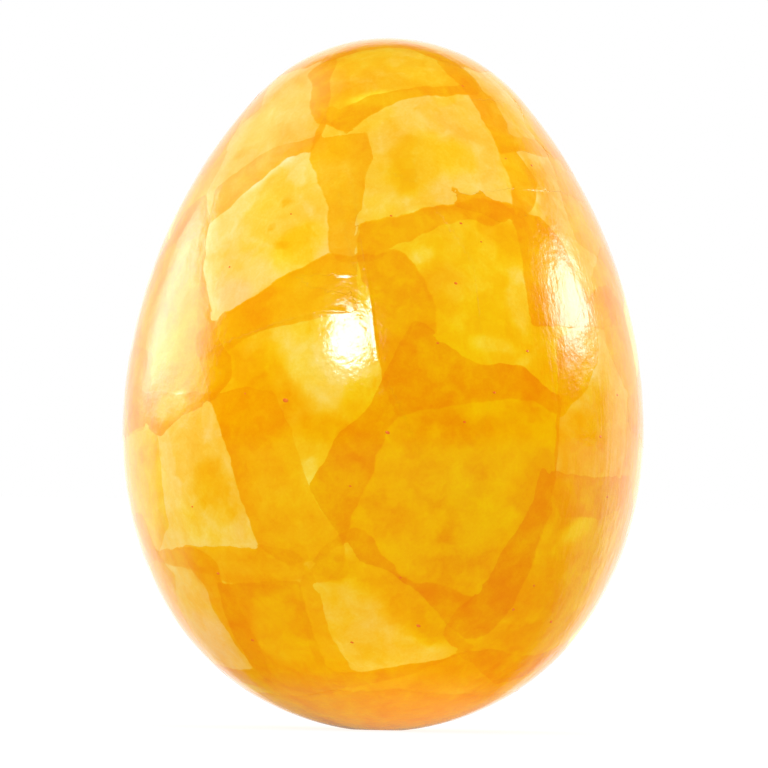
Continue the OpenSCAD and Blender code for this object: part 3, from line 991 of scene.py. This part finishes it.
# The room. Directions have X to the right, Y away from the camera and Z up. Each soft step goes from one
# place to another, and from one value to another
ABOVE_LIGHT = 1.08
BEHIND_LIGHT = (-0.4, 0.5, 0.0, 0.36)
BACKDROP_BEHIND = (0.3, 0.62, 0.0, 1.2)
BACKDROP_TOP = (0.4, 0.68, 1.0, 0.0)
GLOW_LEFT = (-0.6, -0.2, 1.1, 0.0)
GLOW_UP = (0.3, 0.6)
GLOW_BEHIND = (-0.1, 0.25)
DIM_ABOVE = 0.08
DIM_ROUND = 0.015

# The floor: what the camera sees of it, what the varnish mirrors of it, and the light it gives the egg
FLOOR_SIZE = 8
FLOOR_SEEN = (20, 120, 0.84, 1.0)
FLOOR_CLOSE = (8, 14, 0.35, 0.008)
FLOOR_BESIDE = (-0.15, 0.15)
FLOOR_BESIDE_GLOW = 0.45
FLOOR_BEHIND = (0.25, 0.65)
FLOOR_BEHIND_GLOW = 1.4
FLOOR_LIGHT = (5, 45, 1.42, 0.76)
FLOOR_LIGHT_EVEN = 0.97
FLOOR_LIGHT_RIGHT = 0.09
FLOOR_LIGHT_BACK = 0.18
FLOOR_GREY = (0.2, 0.2, 0.2)
FLOOR_MIRRORED_GREY = (0.03, 0.03, 0.03)
FLOOR_ROUGH = 0.9
WHITE = (1, 1, 1, 1)


def camera():
    data = bpy.data.cameras.new("camera")
    data.sensor_width = SENSOR
    data.lens = SENSOR * CAMERA_AWAY / FRAME_WIDTH
    data.clip_end = SIGHT * MM
    eye = bpy.data.objects.new("camera", data)
    eye.location = (0, -CAMERA_AWAY * MM, FRAME_MIDDLE * MM)
    eye.rotation_euler = (math.pi / 2, -LEAN, 0)
    bpy.context.scene.collection.objects.link(eye)
    bpy.context.scene.camera = eye


def lamp(name, angle, rise, size, glow, soft, core, round_face=False):
    """Lamp aimed at the egg from degrees round from the front towards +X, and degrees up.

    Its face has a soft edge, as a share of its size, and a brighter middle."""
    data = bpy.data.lights.new(name, "AREA")
    data.shape = "RECTANGLE"
    data.size, data.size_y = (side * MM for side in size)
    data.energy = glow * math.pi * data.size * data.size_y
    data.use_nodes = True
    tree = data.node_tree
    spot = add(tree, "ShaderNodeNewGeometry").outputs["Parametric"]
    parts = parts_of(tree, vector_maths(tree, "SUBTRACT", spot, (HALF_FACE, HALF_FACE, 0))[0])
    flat = add(tree, "ShaderNodeCombineXYZ", {0: parts["X"], 1: parts["Y"]}).outputs[0]
    off_middle = vector_maths(tree, "LENGTH", flat)["Value"]
    edge = (HALF_FACE - soft, HALF_FACE, 1.0, 0.0)
    if round_face:
        face = ramp(tree, off_middle, *edge)
    else:
        sides = [ramp(tree, maths(tree, "ABSOLUTE", parts[side]), *edge) for side in "XY"]
        face = maths(tree, "MULTIPLY", *sides)
    face = maths(tree, "ADD", ramp(tree, off_middle, *CORE_FADE, core, 0.0), face)
    tree.links.new(face, tree.nodes["Emission"].inputs["Strength"])
    turn = math.radians(angle)
    lift = math.radians(rise)
    way = np.array([math.cos(lift) * math.sin(turn), -math.cos(lift) * math.cos(turn), math.sin(lift)])
    light = bpy.data.objects.new(name, data)
    light.location = (np.array([0, 0, FRAME_MIDDLE]) + way * LAMP_AWAY) * MM
    light.rotation_euler = (math.pi / 2 - lift, 0, turn)
    light.visible_camera = False
    bpy.context.scene.collection.objects.link(light)


def room():
    """White background that lights the egg from above and behind.

    The varnish mirrors its backdrop, a glow at the upper left, and the dim rest of the room."""
    world = bpy.data.worlds.new("studio")
    bpy.context.scene.world = world
    world.use_nodes = True
    tree = world.node_tree
    light = tree.nodes["Background"]
    rays = add(tree, "ShaderNodeLightPath").outputs
    way = parts_of(tree, add(tree, "ShaderNodeTexCoord").outputs["Generated"])
    high = maths(tree, "MAXIMUM", way["Z"], 0.0)
    spread = maths(tree, "MULTIPLY_ADD", high, ABOVE_LIGHT, ramp(tree, way["Y"], *BEHIND_LIGHT))
    backdrop = ramp(tree, way["Y"], *BACKDROP_BEHIND)
    backdrop = maths(tree, "MULTIPLY", backdrop, ramp(tree, high, *BACKDROP_TOP))
    glow = maths(tree, "MULTIPLY", ramp(tree, way["X"], *GLOW_LEFT), ramp(tree, high, *GLOW_UP))
    glow = maths(tree, "MULTIPLY", glow, ramp(tree, way["Y"], *GLOW_BEHIND))
    dim = maths(tree, "MULTIPLY_ADD", high, DIM_ABOVE, DIM_ROUND)
    mirrored = maths(tree, "MAXIMUM", dim, maths(tree, "MAXIMUM", backdrop, glow))
    lit = add(tree, "ShaderNodeMix", {"Factor": rays["Is Glossy Ray"], 2: spread, 3: mirrored}).outputs[0]
    seen = maths(tree, "MAXIMUM", rays["Is Camera Ray"], rays["Is Transmission Ray"])
    tree.links.new(maths(tree, "MAXIMUM", seen, lit), light.inputs["Strength"])
    light.inputs["Color"].default_value = WHITE


def white_floor():
    """White floor that is dark close in front where the varnish mirrors it, and bright behind the egg."""
    bpy.ops.object.select_all(action="DESELECT")
    bpy.ops.mesh.primitive_plane_add(size=FLOOR_SIZE)
    floor = bpy.context.object
    floor.name = "floor"
    finish, tree, shader = new_material("floor")
    place = place_in_mm(tree)
    away = vector_maths(tree, "LENGTH", place)["Value"]
    way = parts_of(tree, vector_maths(tree, "NORMALIZE", place)[0])
    rays = add(tree, "ShaderNodeLightPath").outputs
    close = ramp(tree, away, *FLOOR_CLOSE)
    beside = ramp(tree, way["Y"], *FLOOR_BESIDE, close, FLOOR_BESIDE_GLOW)
    behind = ramp(tree, way["Y"], *FLOOR_BEHIND, beside, FLOOR_BEHIND_GLOW)
    mirrored = maths(tree, "MULTIPLY", rays["Is Glossy Ray"], behind)
    plain = maths(tree, "MAXIMUM", rays["Is Camera Ray"], mirrored)
    plain = maths(tree, "MULTIPLY", plain, ramp(tree, away, *FLOOR_SEEN))
    uneven = maths(tree, "MULTIPLY_ADD", way["X"], FLOOR_LIGHT_RIGHT, FLOOR_LIGHT_EVEN)
    uneven = maths(tree, "MULTIPLY_ADD", way["Y"], FLOOR_LIGHT_BACK, uneven)
    below = maths(tree, "MULTIPLY", ramp(tree, away, *FLOOR_LIGHT), uneven)
    spread = maths(tree, "MULTIPLY", rays["Is Diffuse Ray"], below)
    tree.links.new(maths(tree, "MAXIMUM", plain, spread), shader.inputs["Emission Strength"])
    shader.inputs["Emission Color"].default_value = WHITE
    shade = blend(tree, rays["Is Glossy Ray"], FLOOR_GREY, FLOOR_MIRRORED_GREY)
    tree.links.new(shade, shader.inputs["Base Color"])
    shader.inputs["Roughness"].default_value = FLOOR_ROUGH
    shader.inputs["Specular IOR Level"].default_value = 0.0
    floor.data.materials.append(finish)


def studio():
    """White room and floor, and three soft lamps."""
    room()
    white_floor()
    lamp("dish", angle=-17, rise=22, size=(330, 235), glow=3.0, soft=0.25, core=7.5, round_face=True)
    lamp("right_window", angle=102, rise=20, size=(460, 270), glow=7.4, soft=0.45, core=0.65)
    lamp("left_panel", angle=-112, rise=14, size=(720, 350), glow=4.0, soft=0.35, core=0.0)


camera()
cover_egg()
studio()
view = bpy.context.scene.view_settings
view.view_transform = "Standard"
